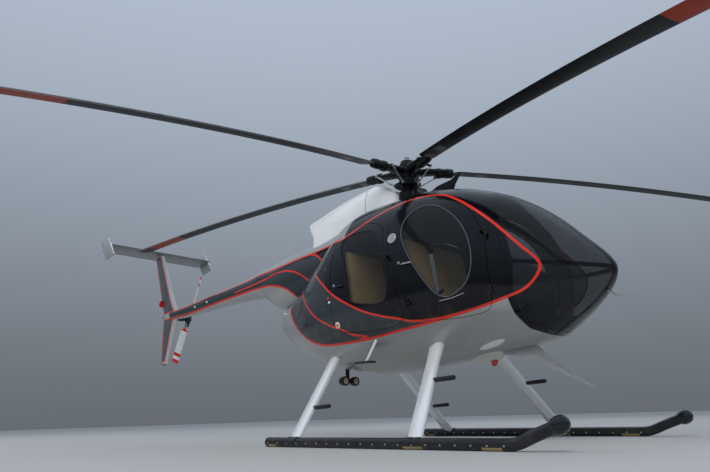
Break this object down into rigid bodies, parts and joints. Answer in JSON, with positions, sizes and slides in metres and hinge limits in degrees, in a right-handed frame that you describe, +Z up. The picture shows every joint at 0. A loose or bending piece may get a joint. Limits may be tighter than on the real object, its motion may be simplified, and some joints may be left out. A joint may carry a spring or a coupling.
{
  "type": "light turbine helicopter",
  "caption": "Light single-turbine helicopter on skids: egg-shaped hollow cabin with opening doors, five-blade main rotor, tail boom with T-tail and side tail rotor.",
  "frame": {"origin": "centre of the bounding box's base, on the ground under the skids", "axes": "+X forward to the nose, +Y to port, +Z up"},
  "size_m": [8.8568, 7.5584, 2.8474],
  "materials": {
    "silver_paint": "metallic gloss",
    "black_paint": "gloss",
    "white_paint": "gloss",
    "slate_paint": "gloss",
    "tinted_glass": "polished",
    "blade_black": "satin",
    "rotor_metal": "semi-gloss",
    "bare_alloy": "satin",
    "skid_black": "satin",
    "hot_steel": "heat stained",
    "seat_leather": "matt",
    "cabin_trim": "matt",
    "carpet": "matt"
  },
  "bodies": {
    "airframe": {"canopy_frame": "black_paint", "windshield_right": "tinted_glass", "windshield_left": "tinted_glass", "chin_window_right": "tinted_glass", "chin_window_left": "tinted_glass", "cabin_shell": "black_paint", "cabin_floor": "carpet", "firewall": "cabin_trim", "seat_front_right": "seat_leather", "seat_front_left": "seat_leather", "seat_rear_bench": "seat_leather", "instrument_console": "cabin_trim", "cyclic_right": "cabin_trim", "cyclic_left": "cabin_trim", "rear_fuselage": "silver_paint", "engine_block": "bare_alloy", "exhaust_pipe": "hot_steel", "mast_fairing": "white_paint", "rotor_mast": "rotor_metal", "tail_boom": "silver_paint", "upper_fin": "slate_paint", "lower_fin": "slate_paint", "stabiliser": "silver_paint", "tail_gearbox": "bare_alloy", "leg_front_right": "silver_paint", "leg_front_left": "silver_paint", "leg_rear_right": "silver_paint", "leg_rear_left": "silver_paint", "skid_right": "skid_black", "skid_left": "skid_black", "lower_wire_cutter": "bare_alloy", "upper_wire_cutter": "rotor_metal", "landing_lights": "rotor_metal", "side_step_right": "bare_alloy"},
    "main_rotor": {"rotor_hub": "rotor_metal", "main_blade_1": "blade_black", "main_blade_2": "blade_black", "main_blade_3": "blade_black", "main_blade_4": "blade_black", "main_blade_5": "blade_black"},
    "tail_rotor": {"tail_rotor_hub": "rotor_metal", "tail_blade_1": "white_paint", "tail_blade_2": "white_paint"},
    "front_door_right": {"door_front_right": "black_paint", "door_window_front_right": "tinted_glass"},
    "front_door_left": {"door_front_left": "black_paint", "door_window_front_left": "tinted_glass"},
    "rear_door_right": {"door_rear_right": "black_paint", "door_window_rear_right": "tinted_glass"},
    "rear_door_left": {"door_rear_left": "black_paint", "door_window_rear_left": "tinted_glass"}
  },
  "joints": [
    {"name": "main_rotor_spin", "type": "hinge", "parent": "airframe", "child": "main_rotor", "pos_m": [0.752, 0.228, 2.599], "axis": [0.0401, 0, 0.9992], "continuous": true},
    {"name": "tail_rotor_spin", "type": "hinge", "parent": "airframe", "child": "tail_rotor", "pos_m": [-3.985, 0.658, 1.715], "axis": [0, 1, 0], "continuous": true},
    {"name": "front_door_right_swing", "type": "hinge", "parent": "airframe", "child": "front_door_right", "pos_m": [1.969, -0.368, 1.37], "axis": [0, 0, 1], "range_deg": [0, 75]},
    {"name": "front_door_left_swing", "type": "hinge", "parent": "airframe", "child": "front_door_left", "pos_m": [1.969, 0.824, 1.37], "axis": [0, 0, -1], "range_deg": [0, 75]},
    {"name": "rear_door_right_swing", "type": "hinge", "parent": "airframe", "child": "rear_door_right", "pos_m": [1.103, -0.494, 1.37], "axis": [-0.4001, 0, 0.9165], "range_deg": [0, 70]},
    {"name": "rear_door_left_swing", "type": "hinge", "parent": "airframe", "child": "rear_door_left", "pos_m": [1.103, 0.95, 1.37], "axis": [0.4001, 0, -0.9165], "range_deg": [0, 70]}
  ]
}
